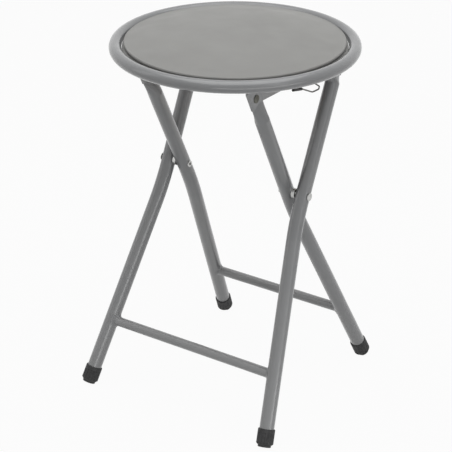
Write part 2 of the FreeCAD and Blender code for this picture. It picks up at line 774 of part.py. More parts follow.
def screws():
    """Pan-head screws up through the flanges into the board."""
    group = []
    for i, (x, y) in enumerate(screw_places()):
        under = size(BOARD_BOTTOM + " - sheet.rail_sheet")
        head = cylinder(
            "screw_head_%d" % i, at(x, y, under - size("sheet.screw_head_height")),
            "sheet.screw_head / 2", "sheet.screw_head_height")
        shank = cylinder(
            "screw_shank_%d" % i, at(x, y, under), "sheet.screw_shank / 2", "sheet.screw_length")
        group.append(fuse("board_screw_%d" % i, head, shank))
    feature = doc.addObject("Part::Compound", "board_screws")
    feature.Links = group
    return keep(feature, "board_screws")


staple_group = staples()
screws()


def pad_outline(inset):
    """Top middle, dome, shoulder and side of the pad's skin, moved in by inset."""
    slope = "sheet.dome_slope"
    shoulder = "(sheet.cover_shoulder - (%s))" % inset
    centre_x = "(%s - sheet.cover_shoulder)" % COVER_EDGE
    centre_y = "(sheet.ring_height + sheet.cover_edge_rise)"
    join_x = "(%s + %s * sin(%s))" % (centre_x, shoulder, slope)
    join_y = "(%s + %s * cos(%s))" % (centre_y, shoulder, slope)
    dome = "(%s / sin(%s))" % (join_x, slope)
    top = "(%s + %s * (1 - cos(%s)))" % (join_y, dome, slope)
    points = [("0", top), (join_x, join_y), ("%s - (%s)" % (COVER_EDGE, inset), centre_y)]
    arcs = {0: ("0", top + " - " + dome, dome, True), 1: (centre_x, centre_y, shoulder, True)}
    return points, arcs


def pad():
    """The wooden disc, the foam over and round it, and the cover turned under it."""
    disc = cylinder("board_disc", at(0, 0, size(BOARD_BOTTOM)), BOARD_RADIUS, "sheet.board_thickness")
    pilots = [
        cylinder("pilot_%d" % i, at(x, y, size(BOARD_BOTTOM)),
                 "sheet.screw_shank / 2 + sheet.seat_fit", "sheet.screw_length - sheet.rail_sheet + sheet.seat_fit")
        for i, (x, y) in enumerate(screw_places())
    ]
    keep(cut("seat_board", disc, staple_group, *pilots), "seat_board")

    thick = "sheet.cover_thickness"
    turn_x = COVER_FOOT + " - sheet.cover_turn"
    turn_z = BOARD_BOTTOM + " + sheet.cover_turn"
    outside, arcs = pad_outline("0")
    inside, inside_arcs = pad_outline(thick)
    vertices = outside + [
        (COVER_FOOT, turn_z),
        (turn_x, COVER_BOTTOM),
        (HEM_INNER, COVER_BOTTOM),
        (HEM_INNER, BOARD_BOTTOM),
        (turn_x, BOARD_BOTTOM),
        (COVER_FOOT + " - " + thick, turn_z),
    ] + list(reversed(inside))
    last = len(vertices) - 1
    arcs[last - 1] = inside_arcs[0][:3] + (False,)
    arcs[last - 2] = inside_arcs[1][:3] + (False,)
    skin = turned("cover_skin", vertices, arcs)
    keep(cut("seat_cover", skin, staple_group), "seat_cover")

    play = thick + " + sheet.weld_gap"
    board_edge = BOARD_RADIUS + " + sheet.weld_gap"
    board_top = BOARD_BOTTOM + " + sheet.board_thickness + sheet.seat_fit"
    foam_top, foam_arcs = pad_outline(play)
    foam = turned("foam_body", foam_top + [
        ("%s - (%s)" % (COVER_FOOT, play), turn_z),
        (turn_x + " - sheet.weld_gap", BOARD_BOTTOM + " + sheet.weld_gap"),
        (board_edge, BOARD_BOTTOM + " + sheet.weld_gap"),
        (board_edge, board_top),
        ("0", board_top),
    ], foam_arcs)
    keep(foam, "seat_foam")


pad()


def latch():
    """The bent wire latch, its eye and plastic sleeve, and the shouldered rivet that carries it."""
    pivot = Vector(size(LATCH_X), size(LATCH_PIVOT_Y), size(LATCH_PIVOT_Z))
    wire = "sheet.latch_wire / 2"

    def spot(forward, depth):
        """A corner of the wire, by its distance before the pivot and its depth under the rod."""
        return "%s - sheet.%s" % (LATCH_PIVOT_Y, forward), "%s - sheet.%s" % (CARRY_HEIGHT, depth)

    tip_y = "(%s + sheet.rod_diameter / 2 + sheet.latch_tip_gap + %s)" % (ROD_Y, wire)
    tip_z = CARRY_HEIGHT + " - sheet.latch_tip_drop"
    front_y, front_z = spot("latch_front", "front_depth")
    corners = [
        (tip_y, tip_z),
        (tip_y, LATCH_RUN),
        (front_y, LATCH_RUN),
        (front_y, front_z),
        spot("loop_neck", "neck_depth"),
        spot("loop_end", "loop_depth"),
        spot("loop_heel", "heel_depth"),
        spot("grip_start", "grip_start_depth"),
        spot("grip_end", "grip_end_depth"),
    ]
    bends = ["latch_tip", "latch_front", "latch_front", "loop_neck", "loop_end", "loop_heel", "grip"]

    def section(body):
        sketch = new_sketch(body, "latch_section", "XY_Plane", tip_z)
        circles(sketch, LATCH_X, tip_y, wire)
        return sketch

    body = bent_tube("latch_bend", corners, ["sheet.%s_bend" % b for b in bends], "YZ_Plane", section, LATCH_X)
    # The eye is wound beside the straight run, half a wire nearer the rail
    eye = primitive(
        "Part::Torus", "latch_eye", along_x(pivot.x - size(wire), pivot.y, pivot.z),
        Radius1=LATCH_EYE, Radius2=wire)
    keep(fuse("latch_wire_piece", body, eye), "latch_wire")

    end = Vector(pivot.x, size(corners[-1][0]), size(corners[-1][1]))
    before = Vector(pivot.x, size(corners[-2][0]), size(corners[-2][1]))
    forward = (end - before).normalize()
    turn = Rotation(Vector(0, 0, 1), -forward)
    blank = cylinder(
        "sleeve_blank", Placement(end + forward * size("sheet.sleeve_wall"), turn),
        wire + " + sheet.seat_fit + sheet.sleeve_wall", "sheet.sleeve_length")
    bore = cylinder(
        "sleeve_bore", Placement(end + forward * size("sheet.weld_gap"), turn),
        wire + " + sheet.seat_fit", "sheet.sleeve_length")
    keep(cut("latch_sleeve", blank, bore), "latch_sleeve")

    collar_end = "(%s - sheet.latch_wire - sheet.weld_gap)" % LATCH_X
    head_from = "(%s + %s + sheet.weld_gap)" % (LATCH_X, wire)
    shank = "sheet.latch_rivet_shank / 2"
    head = "sheet.latch_rivet_head / 2"
    collar = "sheet.latch_rivet_collar / 2"
    high = "sheet.latch_rivet_head_height"
    stud = turned("latch_rivet_body", [
        ("0", RAIL_INNER + " - " + high),
        (head, RAIL_INNER + " - " + high),
        (head, RAIL_INNER),
        (shank, RAIL_INNER),
        (shank, RAIL_OUTER),
        (collar, RAIL_OUTER),
        (collar, collar_end),
        (shank, collar_end),
        (shank, head_from),
        (head, head_from),
        (head, head_from + " + " + high),
        ("0", head_from + " + " + high),
    ])
    stud.Placement = along_x(0, pivot.y, pivot.z)
    keep(stud, "latch_rivet")


latch()

doc.recompute()
failed = [
    "%s (%s)" % (feature.Label, ", ".join(feature.State)) for feature in doc.Objects
    if "Invalid" in feature.State or "Error" in feature.State
]
for node in nodes:
    if node.Shape.isNull() or not node.Shape.isValid() or not node.Shape.Solids:
        failed.append(node.Label + " has no valid solid")
if failed:
    raise RuntimeError("failed: " + "; ".join(failed))

os.makedirs("parts", exist_ok=True)
for node in nodes:
    node.Shape.exportStep("parts/%s.step" % node.Label)
    print("%-20s %2d solid(s) %12.1f mm3" % (node.Label, len(node.Shape.Solids), node.Shape.Volume))
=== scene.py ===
import math

import bmesh
import bpy
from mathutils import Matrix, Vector, noise
from mathutils.bvhtree import BVHTree

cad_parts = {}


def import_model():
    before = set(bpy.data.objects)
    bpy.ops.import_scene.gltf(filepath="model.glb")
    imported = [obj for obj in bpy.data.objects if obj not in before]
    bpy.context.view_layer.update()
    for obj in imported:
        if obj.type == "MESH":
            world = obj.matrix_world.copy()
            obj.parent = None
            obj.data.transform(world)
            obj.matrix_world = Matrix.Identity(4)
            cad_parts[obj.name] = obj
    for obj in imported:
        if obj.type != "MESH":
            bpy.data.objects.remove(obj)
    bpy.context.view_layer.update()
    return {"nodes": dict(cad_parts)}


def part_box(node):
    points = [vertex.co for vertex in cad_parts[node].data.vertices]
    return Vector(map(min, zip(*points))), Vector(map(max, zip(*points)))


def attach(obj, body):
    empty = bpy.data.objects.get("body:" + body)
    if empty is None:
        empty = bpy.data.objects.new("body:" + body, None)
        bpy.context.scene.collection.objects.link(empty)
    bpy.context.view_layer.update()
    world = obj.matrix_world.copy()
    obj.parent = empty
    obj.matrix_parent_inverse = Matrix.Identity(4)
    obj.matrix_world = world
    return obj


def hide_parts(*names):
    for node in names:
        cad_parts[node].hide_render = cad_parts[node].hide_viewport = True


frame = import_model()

MM = 0.001
NODES = frame["nodes"]

# Places read from the frame, in metres
ring_low, ring_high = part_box("seat_ring")
cover_low, cover_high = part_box("seat_cover")
board_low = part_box("seat_board")[0]
TUBE = (ring_high.z - ring_low.z) / 2
RING = ring_high.x - TUBE
RING_Z = (ring_high.z + ring_low.z) / 2


def new_object(name, mesh):
    obj = bpy.data.objects.new(name, mesh)
    bpy.context.scene.collection.objects.link(obj)
    return obj


def mesh_object(name, vertices, faces, smooth=True):
    mesh = bpy.data.meshes.new(name)
    mesh.from_pydata(vertices, [], faces)
    mesh.validate()
    obj = new_object(name, mesh)
    tidy = bmesh.new()
    tidy.from_mesh(mesh)
    bmesh.ops.recalc_face_normals(tidy, faces=tidy.faces)
    tidy.to_mesh(mesh)
    tidy.free()
    for face in mesh.polygons:
        face.use_smooth = smooth
    return obj


# Materials


class Shader:
    """A material whose colour, roughness and relief come from noise on the piece's own place."""

    def __init__(self, name, color, roughness, metallic=0.0):
        self.material = bpy.data.materials.new(name)
        self.material.use_nodes = True
        self.tree = self.material.node_tree
        self.shader = self.tree.nodes["Principled BSDF"]
        self.shader.inputs["Base Color"].default_value = (*color, 1)
        self.shader.inputs["Roughness"].default_value = roughness
        self.shader.inputs["Metallic"].default_value = metallic
        self.color = color
        self.place = self.node("ShaderNodeTexCoord").outputs["Object"]

    def node(self, kind, **settings):
        node = self.tree.nodes.new(kind)
        for name, value in settings.items():
            setattr(node, name, value)
        return node

    def join(self, output, entry):
        self.tree.links.new(output, entry)

    def set(self, **values):
        for name, value in values.items():
            self.shader.inputs[name.replace("_", " ")].default_value = value

    def noise(self, size, detail=3.0, stretch=(1, 1, 1)):
        """Noise whose features are about size metres across."""
        mapping = self.node("ShaderNodeMapping")
        mapping.inputs["Scale"].default_value = stretch
        self.join(self.place, mapping.inputs["Vector"])
        texture = self.node("ShaderNodeTexNoise")
        texture.inputs["Scale"].default_value = 1 / size
        texture.inputs["Detail"].default_value = detail
        self.join(mapping.outputs["Vector"], texture.inputs["Vector"])
        return texture.outputs["Fac"]

    def cells(self, size, feature):
        """Distances in a pattern of cells about size metres across."""
        texture = self.node("ShaderNodeTexVoronoi", feature=feature)
        texture.inputs["Scale"].default_value = 1 / size
        self.join(self.place, texture.inputs["Vector"])
        return texture.outputs["Distance"]

    def spread(self, value, low, high, first=0.3, last=0.7):
        """Maps a value from first..last to low..high."""
        node = self.node("ShaderNodeMapRange")
        for name, number in (("From Min", first), ("From Max", last), ("To Min", low), ("To Max", high)):
            node.inputs[name].default_value = number
        self.join(value, node.inputs["Value"])
        return node.outputs["Result"]

    def tint(self, value, dark, light):
        """Varies the colour with a value between dark and light shares of it."""
        ramp = self.node("ShaderNodeValToRGB")
        ramp.color_ramp.elements[0].position = 0.3
        ramp.color_ramp.elements[1].position = 0.7
        for element, share in zip(ramp.color_ramp.elements, (dark, light)):
            shares = share if isinstance(share, tuple) else (share,) * 3
            element.color = (*(c * s for c, s in zip(self.color, shares)), 1)
        self.join(value, ramp.inputs["Fac"])
        self.join(ramp.outputs["Color"], self.shader.inputs["Base Color"])
        return ramp.outputs["Color"]

    def over(self, below, color, share):
        """Lays a colour over what is below by a share between 0 and 1."""
        mix = self.node("ShaderNodeMix", data_type="RGBA")
        self.join(share, mix.inputs[0])
        self.join(below, mix.inputs[6])
        mix.inputs[7].default_value = (*color, 1)
        self.join(mix.outputs[2], self.shader.inputs["Base Color"])

    def rough(self, value, low, high):
        self.join(self.spread(value, low, high), self.shader.inputs["Roughness"])

    def bump(self, *layers):
        """Relief from (value, height in metres) layers, the first one lowest."""
        normal = None
        for value, height in layers:
            node = self.node("ShaderNodeBump")
            node.inputs["Distance"].default_value = height
            self.join(value, node.inputs["Height"])
            if normal:
                self.join(normal, node.inputs["Normal"])
            normal = node.outputs["Normal"]
        self.join(normal, self.shader.inputs["Normal"])

    def worn_edges(self, below, color, sharp=0.56):
        """Lightens the sharpest edges."""
        edge = self.node("ShaderNodeNewGeometry").outputs["Pointiness"]
        self.over(below, color, self.spread(edge, 0.0, 0.5, sharp - 0.04, sharp + 0.06))


COAT_GREY = (0.226, 0.230, 0.235)


def powder_coat():
    """Grey powder coat: a faint orange peel with slow changes in gloss."""
    s = Shader("grey_powder_coat", COAT_GREY, 0.38)
    s.set(Coat_Weight=0.8, Coat_Roughness=0.12)
    slow = s.noise(0.05, 4)
    base = s.tint(slow, 0.95, 1.05)
    s.worn_edges(base, (0.36, 0.36, 0.36))
    s.rough(s.noise(0.012), 0.33, 0.43)
    s.bump((s.noise(0.0022, 2), 0.00005), (s.noise(0.0005, 2), 0.00001))
    return s.material


def vinyl():
    """Grey vinyl with a fine leather grain and faint rubbed patches."""
    s = Shader("grey_vinyl", (0.318, 0.316, 0.305), 0.5)
    s.set(Specular_IOR_Level=0.42)
    s.tint(s.noise(0.09, 5), 0.965, 1.03)
    s.rough(s.noise(0.03, 4), 0.44, 0.56)
    s.bump(
        (s.cells(0.0011, "SMOOTH_F1"), 0.00005),
        (s.noise(0.004, 3), 0.00007),
        (s.noise(0.0004, 2), 0.00002))
    return s.material


def rubber():
    """Black rubber, dusty towards the floor."""
    s = Shader("black_rubber", (0.031, 0.031, 0.032), 0.6)
    s.set(Specular_IOR_Level=0.45)
    base = s.tint(s.noise(0.006, 4), 0.8, 1.35)
    height = s.node("ShaderNodeSeparateXYZ")
    s.join(s.place, height.inputs[0])
    dust = s.node("ShaderNodeMath", operation="MULTIPLY")
    s.join(s.spread(height.outputs["Z"], 0.45, 0.0, 0.0, 0.009), dust.inputs[0])
    s.join(s.spread(s.noise(0.003, 4), 0.2, 1.0), dust.inputs[1])
    s.over(base, (0.10, 0.097, 0.09), dust.outputs[0])
    s.rough(s.noise(0.004), 0.5, 0.72)
    s.bump((s.noise(0.0012, 4), 0.00008), (s.noise(0.00035, 2), 0.00003))
    return s.material


def plated(name, color, roughness=0.3):
    """Plated steel with fine turning marks and dull spots."""
    s = Shader(name, color, roughness, 0.95)
    s.tint(s.noise(0.004, 4), 0.82, 1.1)
    s.rough(s.noise(0.0015, 3), roughness - 0.07, roughness + 0.14)
    s.bump((s.noise(0.0006, 3, (8, 1, 1)), 0.00003))
    return s.material


def spring_wire():
    """Dark oiled spring wire, with marks drawn along it."""
    s = Shader("spring_wire_steel", (0.20, 0.195, 0.185), 0.34, 0.9)
    s.tint(s.noise(0.003, 4), 0.75, 1.15)
    s.rough(s.noise(0.002, 3), 0.26, 0.45)
    s.bump((s.noise(0.0005, 2, (4, 1, 4)), 0.00003))
    return s.material


def black_plastic():
    """Matte black sleeve with a faint grain."""
    s = Shader("black_sleeve_plastic", (0.022, 0.022, 0.023), 0.5)
    s.tint(s.noise(0.004, 3), 0.85, 1.3)
    s.rough(s.noise(0.001, 3), 0.42, 0.58)
    s.bump((s.noise(0.0005, 2), 0.00002))
    return s.material


def particle_board():
    """Pressed wood chips of mixed tones."""
    s = Shader("particle_board", (0.42, 0.29, 0.17), 0.75)
    chips = s.node("ShaderNodeTexVoronoi")
    chips.inputs["Scale"].default_value = 1 / 0.003
    stretched = s.node("ShaderNodeMapping")
    stretched.inputs["Scale"].default_value = (0.35, 1.3, 1.0)
    bent = s.node("ShaderNodeVectorMath", operation="ADD")
    s.join(s.place, bent.inputs[0])
    wave = s.node("ShaderNodeVectorMath", operation="SCALE")
    turned = s.node("ShaderNodeTexNoise")
    turned.inputs["Scale"].default_value = 1 / 0.02
    s.join(s.place, turned.inputs["Vector"])
    s.join(turned.outputs["Color"], wave.inputs[0])
    wave.inputs["Scale"].default_value = 0.012
    s.join(wave.outputs[0], bent.inputs[1])
    s.join(bent.outputs[0], stretched.inputs["Vector"])
    s.join(stretched.outputs["Vector"], chips.inputs["Vector"])
    tone = s.node("ShaderNodeSeparateColor")
    s.join(chips.outputs["Color"], tone.inputs[0])
    base = s.tint(tone.outputs[0], 0.84, 1.1)
    s.over(base, (0.16, 0.10, 0.055), s.spread(s.noise(0.0016, 4), 0.0, 0.6, 0.58, 0.75))
    s.rough(s.noise(0.003), 0.68, 0.85)
    s.bump((chips.outputs["Distance"], 0.00012), (s.noise(0.0008, 4), 0.00008))
    return s.material


coat = powder_coat()
vinyl_grey = vinyl()
zinc = plated("zinc_plate", (0.52, 0.52, 0.51))
yellow_zinc = plated("yellow_zinc_plate", (0.50, 0.42, 0.22), 0.34)
# A darker, duller copy of the yellow zinc: painted shade for the hinge rivets and spacers that sit under
# the ring
shaded_yellow_zinc = plated("yellow_zinc_painted_shade", (0.17, 0.168, 0.145), 0.62)
MATERIALS = {
    "seat_ring": coat, "rail_left": coat, "rail_right": coat,
    "outer_stretcher": coat, "inner_stretcher": coat,
    "seat_board": particle_board(),
    "latch_wire": spring_wire(), "latch_sleeve": black_plastic(),
    "latch_rivet": zinc, "catch_rod": zinc, "cover_staples": zinc, "board_screws": yellow_zinc,
    "seat_cover": vinyl_grey, "seat_foam": vinyl_grey,
}
caps = rubber()
for side in ("left", "right"):
    for kind in ("inner", "outer"):
        MATERIALS["%s_leg_%s" % (kind, side)] = coat
        MATERIALS["%s_foot_%s" % (kind, side)] = caps
    for name in ("pivot_rivet", "pivot_spacer"):
        MATERIALS["%s_%s" % (name, side)] = zinc
    # The hinge rivets and spacers get the darkened yellow zinc copy, which paints in their shade
    for name in ("hinge_rivet", "hinge_spacer"):
        MATERIALS["%s_%s" % (name, side)] = shaded_yellow_zinc
for name, node in NODES.items():
    node.data.materials.clear()
    node.data.materials.append(MATERIALS[name])


# The padded seat


# The cover's widest place near the ring, and its smaller edge above
COVER_FOOT = cover_high.x + 0.5 * MM
COVER_EDGE = COVER_FOOT - 2.4 * MM

# Profile of the cover from the middle of the top to the hem under the board
HEM_INNER = 103.4 * MM
SHOULDER = 2.6 * MM
UNDERCUT = 1.2 * MM
SHOULDER_Z = RING_Z + 5.0 * MM
TURN = 1.4 * MM
LIP_TOP = RING_Z - 0.3 * MM
SKIN = 1.0 * MM
DOME_SLOPE = math.radians(8.2)
STAPLES = 20


def dome_point(share, inset=0.0):
    """A point of the dome, share 0 in the middle and 1 where the shoulder begins: radius and height."""
    shoulder = SHOULDER - inset
    join_r = COVER_EDGE - SHOULDER + shoulder * math.sin(DOME_SLOPE)
    join_z = SHOULDER_Z + shoulder * math.cos(DOME_SLOPE)
    ball = join_r / math.sin(DOME_SLOPE)
    angle = share * DOME_SLOPE
    return ball * math.sin(angle), join_z - ball * (math.cos(DOME_SLOPE) - math.cos(angle))


def pad_profile(inset=0.0, dome_steps=36, shoulder_steps=8):
    """Radius and height down the outside, from the top's middle to the turn under the board."""
    points = [dome_point(i / dome_steps, inset) for i in range(dome_steps + 1)]
    for i in range(1, shoulder_steps + 1):
        angle = DOME_SLOPE + (math.pi / 2 - DOME_SLOPE) * i / shoulder_steps
        r = COVER_EDGE - SHOULDER + (SHOULDER - inset) * math.sin(angle)
        points.append((r, SHOULDER_Z + (SHOULDER - inset) * math.cos(angle)))
    # The side draws in a little, then swells out over the board's edge till it nearly meets the ring
    for share in (0.25, 0.5):
        r = COVER_EDGE - inset - UNDERCUT * share * 2
        points.append((r, SHOULDER_Z + (LIP_TOP - SHOULDER_Z) * share))
    for out, up in ((0.25, 1.2), (0.7, 0.6), (0.95, 0.0), (1.0, -0.8)):
        points.append((COVER_EDGE - inset + (COVER_FOOT - COVER_EDGE) * out, LIP_TOP + up * MM))
    points.append((COVER_FOOT - inset, board_low.z + TURN))
    return points


def spun(profile, around):
    """Vertices and faces of a profile turned about the z axis, with a single vertex at the middle."""
    vertices = [(0.0, 0.0, profile[0][1])]
    for r, z in profile[1:]:
        for j in range(around):
            angle = 2 * math.pi * j / around
            vertices.append((r * math.cos(angle), r * math.sin(angle), z))
    faces = [(0, 1 + j, 1 + (j + 1) % around) for j in range(around)]
    for i in range(len(profile) - 2):
        a = 1 + i * around
        b = a + around
        for j in range(around):
            k = (j + 1) % around
            faces.append((a + j, b + j, b + k, a + k))
    return vertices, faces


# The simulated pad, which starts a little smaller than the finished one
PRESSURE = 4.0
CLOTH_QUALITY = 6
CLOTH_MASS = 0.4
VOXEL = 5 * MM
SWELL = 1.4 * MM
SIM_FRAMES = 20
SIM_AROUND = 96
SIM_INSET = 0.8 * MM
HELD_HEIGHT = 1.5 * MM


def swollen_pad():
    """A stuffed disc under air pressure: the closed pad blown up a little, moves capped."""
    profile = pad_profile(inset=SIM_INSET, dome_steps=20)
    profile += [(r * COVER_FOOT, board_low.z) for r in (0.985, 0.8, 0.5, 0.25)] + [(2 * MM, board_low.z)]
    vertices, faces = spun(profile, SIM_AROUND)
    last = len(vertices) - SIM_AROUND
    faces.append(tuple(range(last, last + SIM_AROUND)))
    pad = mesh_object("pad_sim", vertices, faces)
    bpy.context.view_layer.objects.active = pad
    remesh = pad.modifiers.new("remesh", "REMESH")
    remesh.mode = "VOXEL"
    remesh.voxel_size = VOXEL
    bpy.ops.object.modifier_apply(modifier=remesh.name)
    rest = [v.co.copy() for v in pad.data.vertices]
    held = pad.vertex_groups.new(name="held")
    held.add([i for i, co in enumerate(rest) if co.z < board_low.z + HELD_HEIGHT], 1.0, "REPLACE")
    cloth = pad.modifiers.new("cloth", "CLOTH")
    cloth.settings.quality = CLOTH_QUALITY
    cloth.settings.mass = CLOTH_MASS
    cloth.settings.use_pressure = True
    cloth.settings.uniform_pressure_force = PRESSURE
    cloth.settings.effector_weights.gravity = 0
    cloth.settings.vertex_group_mass = "held"
    cloth.point_cache.frame_start = 1
    cloth.point_cache.frame_end = SIM_FRAMES
    scene = bpy.context.scene
    for number in range(1, SIM_FRAMES + 1):
        scene.frame_set(number)
    shape = pad.evaluated_get(bpy.context.evaluated_depsgraph_get())
    moved = [v.co.copy() for v in shape.data.vertices]
    pad.modifiers.remove(cloth)
    for vertex, start, end in zip(pad.data.vertices, rest, moved):
        step = end - start
        vertex.co = start + step.normalized() * min(step.length, SWELL)
    scene.frame_set(1)
    tree = BVHTree.FromObject(pad, bpy.context.evaluated_depsgraph_get())
    bpy.data.objects.remove(pad)
    return tree


# How far the swollen pad is looked for, and how far it moves a vertex in and out
SETTLE_REACH = 4 * MM
SETTLE_IN = 0.7 * MM
SETTLE_OUT = 0.21 * MM
EVENING_PASSES = 12


def settle(vertices, tree, around):
    """Moves each vertex a little towards the swollen pad, evened out round the pad."""
    steps = []
    ways = []
    for co in vertices:
        point = Vector(co)
        centre = Vector((point.x * 0.9, point.y * 0.9, board_low.z - 50 * MM))
        out = (point - centre).normalized()
        hit = tree.ray_cast(point + out * SETTLE_REACH, -out, 2 * SETTLE_REACH)[0]
        step = (hit - point).dot(out) if hit else 0.0
        steps.append(max(-SETTLE_IN, min(SETTLE_OUT, step)))
        ways.append(out)
    for _ in range(EVENING_PASSES):
        evened = list(steps)
        for i in range(1, len(steps)):
            row = (i - 1) // around * around + 1
            left = row + (i - 2) % around if i > row else row + around - 1
            right = row + (i - row + 1) % around
            evened[i] = (steps[i] * 2 + steps[left] + steps[right]) / 4
        steps = evened
    return [Vector(co) + way * step for co, way, step in zip(vertices, ways, steps)]


# Depths of the edge's scallops, downward and inward, and of the top's uneven places
SCALLOP_FALL = 0.12 * MM
SCALLOP_DRAW = 0.35 * MM
UNEVEN = 0.16 * MM


def pulled(point):
    """The tension of the turned edge: shallow scallops between the staples, and small uneven places."""
    r = math.hypot(point.x, point.y)
    if r < 1e-6:
        return point
    angle = math.atan2(point.y, point.x)
    out = Vector((point.x / r, point.y / r, 0))
    edge = max(0.0, (r - COVER_EDGE * 0.9) / (COVER_EDGE * 0.1))
    low = max(0.0, min(1.0, (SHOULDER_Z - point.z) / (6 * MM)))
    ripple = math.cos(STAPLES * angle) * 0.5 + noise.noise(Vector((angle * 4, 3, 1))) * 0.6
    uneven = noise.noise(Vector((point.x * 22, point.y * 22, 5))) * UNEVEN * (1 - edge)
    fall = -SCALLOP_FALL * ripple * min(1.0, edge)
    return point + Vector((0, 0, uneven + fall)) - out * (SCALLOP_DRAW * low * (0.5 + 0.5 * ripple))


# Steps round the pad, and the hem's rows, gathered folds, wavy edge and gap to the board
PAD_AROUND = 240
HEM_ROWS = 10
HEM_FOLDS = 62
HEM_WAVE = 0.9 * MM
FOLD_LEAST = 0.15 * MM
FOLD_HEIGHT = 0.55 * MM
HEM_GAP = 0.05 * MM


def seat_pad():
    """The pad's one skin: dome, shoulder, drawn-in side and the hem turned under the board."""
    vertices, faces = spun(pad_profile(), PAD_AROUND)
    vertices = settle(vertices, swollen_pad(), PAD_AROUND)
    points = [pulled(Vector(v)) for v in vertices]
    # The hem lies under the board in small gathered folds, and its raw edge is a little wavy
    start = len(points) - PAD_AROUND
    for i in range(1, HEM_ROWS + 1):
        share = i / HEM_ROWS
        for j in range(PAD_AROUND):
            angle = 2 * math.pi * j / PAD_AROUND
            wave = noise.noise(Vector((math.cos(angle) * 9, math.sin(angle) * 9, 2)))
            inner = HEM_INNER + HEM_WAVE * wave
            r = COVER_FOOT - TURN - (COVER_FOOT - TURN - inner) * share
            fold = 0.5 + 0.5 * math.sin(HEM_FOLDS * angle + 3 * wave)
            swell = math.sin(math.pi * min(1.0, share * 1.15)) ** 0.5
            height = (FOLD_LEAST + FOLD_HEIGHT * fold ** 3) * swell
            sag = SKIN + height if i < HEM_ROWS else SKIN
            points.append(Vector((r * math.cos(angle), r * math.sin(angle), board_low.z - sag)))
    # The raw edge's thickness, up to the board
    for _ in range(PAD_AROUND):
        co = points[len(points) - PAD_AROUND]
        points.append(Vector((co.x, co.y, board_low.z - HEM_GAP)))
    for i in range(HEM_ROWS + 1):
        a = start + i * PAD_AROUND
        b = a + PAD_AROUND
        for j in range(PAD_AROUND):
            k = (j + 1) % PAD_AROUND
            faces.append((a + j, b + j, b + k, a + k))
    pad = mesh_object("vinyl_pad", points, faces)
    pad.data.materials.append(vinyl_grey)
    smoother = pad.modifiers.new("smooth", "SUBSURF")
    smoother.levels = 1
    smoother.render_levels = 1
    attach(pad, "seat")
    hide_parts("seat_cover", "seat_foam")


seat_pad()


# Screws under the board

SCREW_HEAD = 3.75 * MM
HEAD_HEIGHT = 1.95 * MM
HEAD_SEAT = 2.0 * MM
RECESS_DEPTH = 1.0 * MM
RECESS_HALF = 0.55 * MM
RECESS_REACH = 2.1 * MM


def screw_height(x, y):
    """How far a screw's head stands down from the flange at a place, with its cross recess."""
    r = math.hypot(x, y)
    round_off = max(0.0, (r / SCREW_HEAD - 0.72) / 0.28)
    high = HEAD_HEIGHT - 0.3 * MM * (r / SCREW_HEAD) ** 2 - 0.9 * MM * round_off ** 2.2
    across = min(abs(x), abs(y))
    along = max(abs(x), abs(y))
    wall = max(0.0, min(1.0, (RECESS_HALF * 1.25 - across) / (RECESS_HALF * 0.5)))
    end = max(0.0, min(1.0, (RECESS_REACH - along) / (0.6 * MM)))
    return high - RECESS_DEPTH * wall * end


def board_screws():
    """Pan-head screws with a cross recess, driven up through the flanges, each turned its own way."""
    low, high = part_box("board_screws")
    vertices = []
    faces = []
    rings, around = 22, 64
    for number, (sx, sy) in enumerate(((1, 1), (1, -1), (-1, 1), (-1, -1))):
        x = sx * (high.x - SCREW_HEAD)
        y = sy * (high.y - SCREW_HEAD)
        top = low.z + HEAD_SEAT
        turn = number * 0.7
        first = len(vertices)
        for i in range(rings + 1):
            r = max(0.02 * MM, SCREW_HEAD * i / rings)
            for j in range(around):
                angle = 2 * math.pi * j / around
                u, v = r * math.cos(angle), r * math.sin(angle)
                place = (x + r * math.cos(angle + turn), y + r * math.sin(angle + turn))
                vertices.append((*place, top - max(0.0, screw_height(u, v))))
        for j in range(around):
            angle = 2 * math.pi * j / around + turn
            vertices.append((x + SCREW_HEAD * math.cos(angle), y + SCREW_HEAD * math.sin(angle), top))
        for i in range(rings + 1):
            a = first + i * around
            b = a + around
            for j in range(around):
                k = (j + 1) % around
                faces.append((a + j, b + j, b + k, a + k))
        faces.append(tuple(range(first, first + around)))
        back = first + (rings + 1) * around
        faces.append(tuple(range(back, back + around)))
    screws = mesh_object("cross_head_screws", vertices, faces)
    screws.data.materials.append(yellow_zinc)
    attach(screws, "seat")
    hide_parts("board_screws")


board_screws()


# Weld beads


def bead(name, rings, closed, body):
    """A strip of weld metal from rings of points across it."""
    across = len(rings[0])
    vertices = [p for ring in rings for p in ring]
    faces = []
    count = len(rings)
    for i in range(count if closed else count - 1):
        a = i * across
        b = (i + 1) % count * across
        for j in range(across - 1):
            faces.append((a + j, b + j, b + j + 1, a + j + 1))
    obj = mesh_object(name, vertices, faces)
    obj.data.materials.append(coat)
    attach(obj, body)


def stretcher_weld(stretcher, leg, sign, leg_reach, body):
    """The fillet all round a stretcher's end, with the ripples of the weld."""
    low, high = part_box(stretcher)
    radius = (high.z - low.z) / 2
    y = (high.y + low.y) / 2
    z = (high.z + low.z) / 2
    tree = BVHTree.FromObject(NODES[leg], bpy.context.evaluated_depsgraph_get())
    inward = Vector((-sign, 0, 0))
    rings = []
    steps = 120
    for i in range(steps):
        angle = 2 * math.pi * i / steps
        radial = Vector((0, math.cos(angle), math.sin(angle)))
        start = Vector((sign * high.x * 0.6, y, z)) + radial * radius
        seam, normal = tree.ray_cast(start, -inward)[:2]
        if seam is None:
            continue
        along = (radial - normal * radial.dot(normal)).normalized()
        lumps = noise.noise(Vector((angle * 2.2, sign * 3, leg_reach * 900)))
        ripple = 1 + 0.10 * math.sin(20 * angle) + 0.16 * lumps
        reach = leg_reach * ripple
        foot = seam + along * reach - normal * 0.25 * MM
        heel = seam + inward * reach - radial * 0.25 * MM
        middle = seam + (along + inward) * reach * 0.27
        toe = foot.lerp(middle, 0.5) - normal * 0.02 * reach
        rings.append([foot, toe, middle, middle.lerp(heel, 0.5), heel])
    bead("weld_%s_%s" % (stretcher, "right" if sign > 0 else "left"), rings, True, body)


